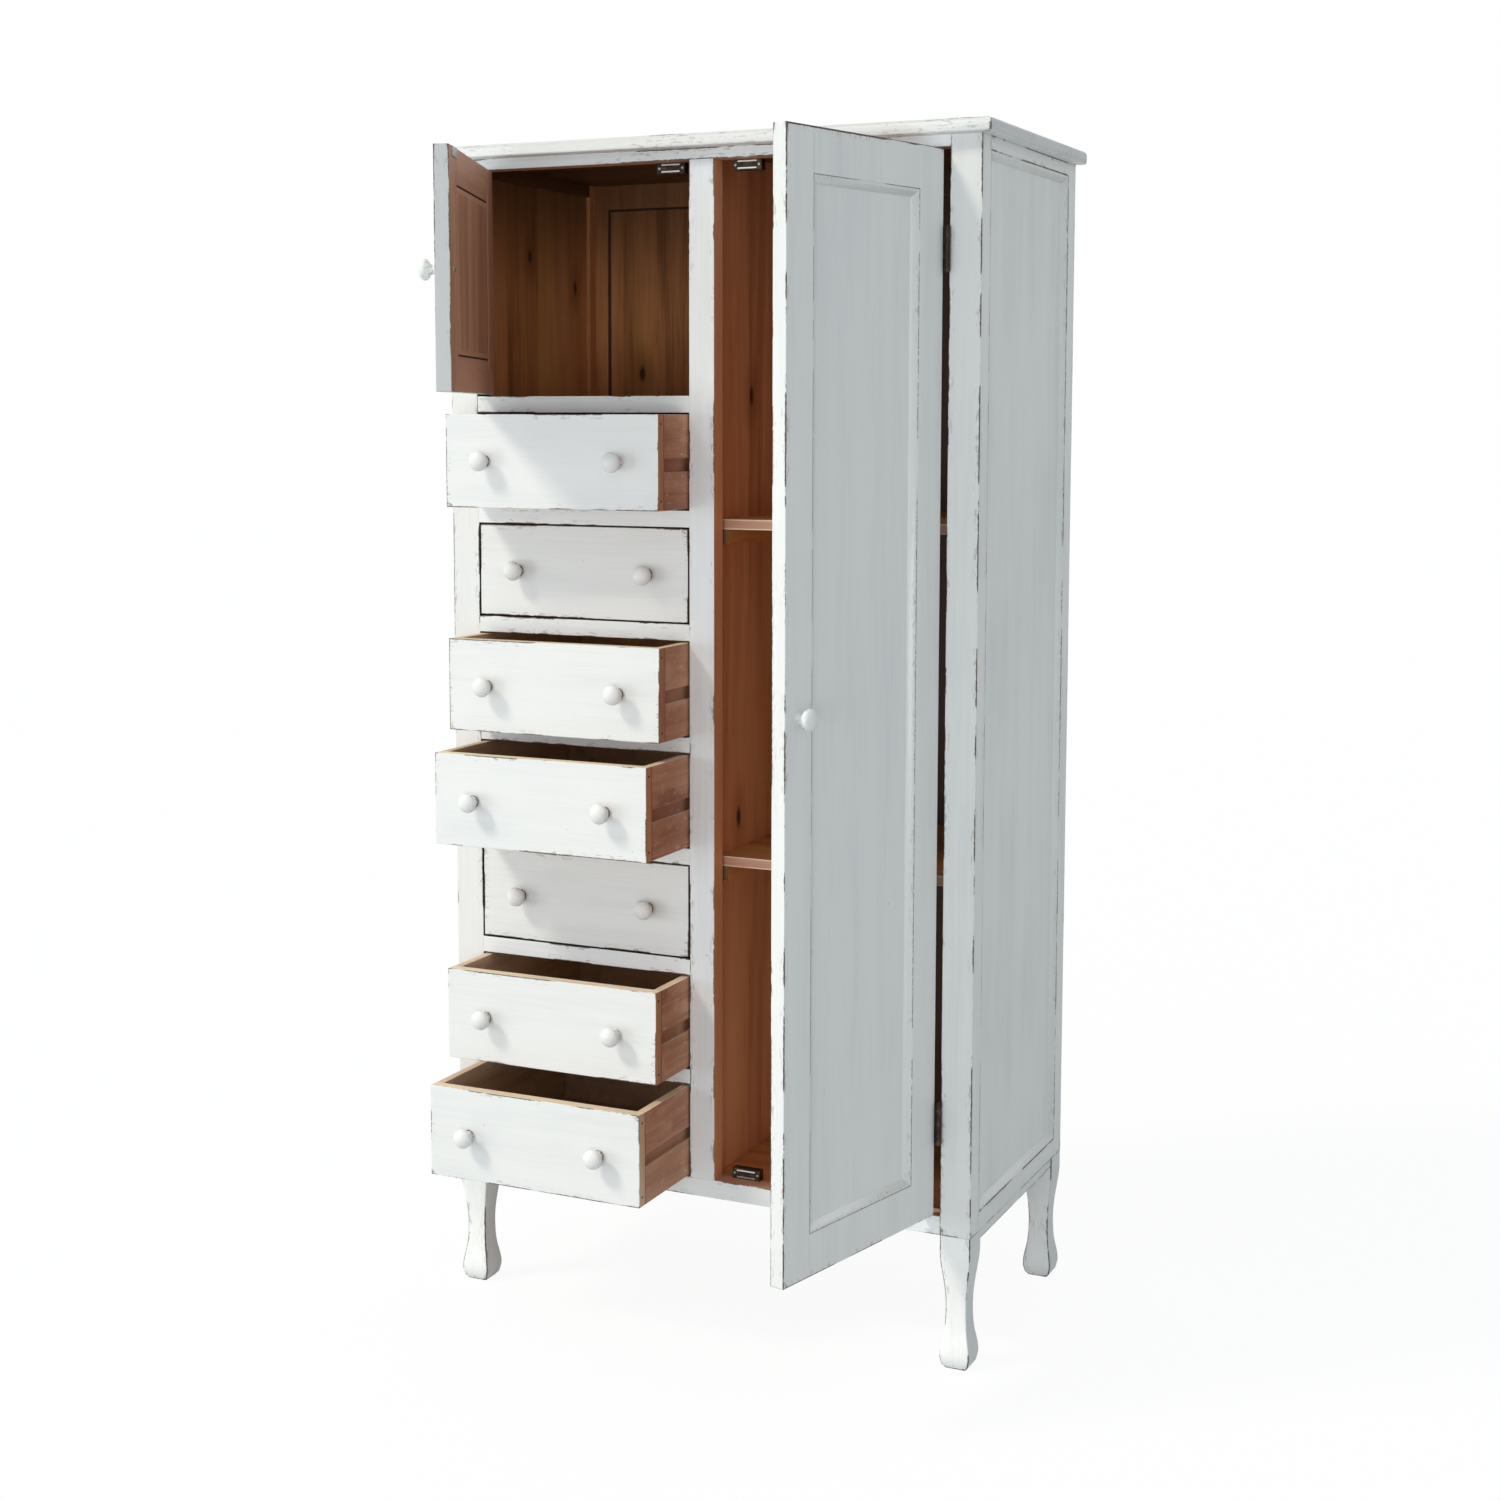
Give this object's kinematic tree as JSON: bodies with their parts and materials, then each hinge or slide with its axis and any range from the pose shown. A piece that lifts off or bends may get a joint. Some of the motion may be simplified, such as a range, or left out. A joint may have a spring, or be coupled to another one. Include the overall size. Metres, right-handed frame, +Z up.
{
  "type": "bonnetiere cabinet",
  "caption": "Tall painted wooden cabinet on shaped legs: a column of drawers under a small hinged cupboard, beside a narrow shelved wardrobe with one panelled door.",
  "frame": {"origin": "on the floor, midway between the sides, and midway between the back and the front edge of the open tall door", "axes": "+Z up, +X to the right as seen from the front, +Y from the front to the back"},
  "size_m": [0.9, 0.7976, 1.8],
  "materials": {
    "painted_wood": "white paint, rubbed through to brown along the edges",
    "stained_wood": "reddish brown stain, satin, with grain and knots",
    "dark_bronze": "dark bronzed",
    "catch_housing": "dark brown housing with bright steel plates",
    "nickel_plate": "nickel plated"
  },
  "bodies": {
    "case": {"top_board": "painted_wood", "front_posts": "painted_wood", "rear_posts": "painted_wood", "centre_stile": "painted_wood", "front_rails": "painted_wood", "drawer_rails": "painted_wood", "side_rails": "painted_wood", "side_panels": "painted_wood", "side_mouldings": "painted_wood", "back_frame": "stained_wood", "back_panels": "stained_wood", "partition": "stained_wood", "floor_boards": "stained_wood", "wardrobe_shelves": "stained_wood", "shelf_cleats": "stained_wood", "drawer_runners": "stained_wood", "legs": "painted_wood", "side_aprons": "painted_wood", "magnetic_catches": "catch_housing", "case_hinges": "dark_bronze"},
    "tall_door": {"tall_door_frame": "painted_wood", "tall_door_panel": "painted_wood", "tall_door_moulding": "painted_wood", "tall_door_knob": "painted_wood", "tall_door_hinge_leaves": "dark_bronze", "tall_door_strikes": "nickel_plate"},
    "small_door": {"small_door_frame": "painted_wood", "small_door_panel": "painted_wood", "small_door_moulding": "painted_wood", "small_door_knob": "painted_wood", "small_door_hinge_leaves": "dark_bronze", "small_door_strike": "nickel_plate"},
    "drawer_1": {"drawer_1_front": "painted_wood", "drawer_1_box": "stained_wood", "drawer_1_bottom": "stained_wood", "drawer_1_knobs": "painted_wood"},
    "drawer_2": {"drawer_2_front": "painted_wood", "drawer_2_box": "stained_wood", "drawer_2_bottom": "stained_wood", "drawer_2_knobs": "painted_wood"},
    "drawer_3": {"drawer_3_front": "painted_wood", "drawer_3_box": "stained_wood", "drawer_3_bottom": "stained_wood", "drawer_3_knobs": "painted_wood"},
    "drawer_4": {"drawer_4_front": "painted_wood", "drawer_4_box": "stained_wood", "drawer_4_bottom": "stained_wood", "drawer_4_knobs": "painted_wood"},
    "drawer_5": {"drawer_5_front": "painted_wood", "drawer_5_box": "stained_wood", "drawer_5_bottom": "stained_wood", "drawer_5_knobs": "painted_wood"},
    "drawer_6": {"drawer_6_front": "painted_wood", "drawer_6_box": "stained_wood", "drawer_6_bottom": "stained_wood", "drawer_6_knobs": "painted_wood"},
    "drawer_7": {"drawer_7_front": "painted_wood", "drawer_7_box": "stained_wood", "drawer_7_bottom": "stained_wood", "drawer_7_knobs": "painted_wood"}
  },
  "joints": [
    {"name": "tall_door_hinge", "type": "hinge", "parent": "case", "child": "tall_door", "pos_m": [0.384, -0.04968, 0.99675], "axis": [0, 0, 1], "range_deg": [-76.5, 88.5]},
    {"name": "small_door_hinge", "type": "hinge", "parent": "case", "child": "small_door", "pos_m": [-0.384, -0.04968, 1.59175], "axis": [0, 0, -1], "range_deg": [-68, 97]},
    {"name": "drawer_1_slide", "type": "slide", "parent": "case", "child": "drawer_1", "axis": [0, -1, 0], "range_m": [-0.096, 0.204]},
    {"name": "drawer_2_slide", "type": "slide", "parent": "case", "child": "drawer_2", "axis": [0, -1, 0], "range_m": [0, 0.3]},
    {"name": "drawer_3_slide", "type": "slide", "parent": "case", "child": "drawer_3", "axis": [0, -1, 0], "range_m": [-0.0945, 0.2055]},
    {"name": "drawer_4_slide", "type": "slide", "parent": "case", "child": "drawer_4", "axis": [0, -1, 0], "range_m": [-0.1371, 0.1629]},
    {"name": "drawer_5_slide", "type": "slide", "parent": "case", "child": "drawer_5", "axis": [0, -1, 0], "range_m": [0, 0.3]},
    {"name": "drawer_6_slide", "type": "slide", "parent": "case", "child": "drawer_6", "axis": [0, -1, 0], "range_m": [-0.108, 0.192]},
    {"name": "drawer_7_slide", "type": "slide", "parent": "case", "child": "drawer_7", "axis": [0, -1, 0], "range_m": [-0.162, 0.138]}
  ]
}
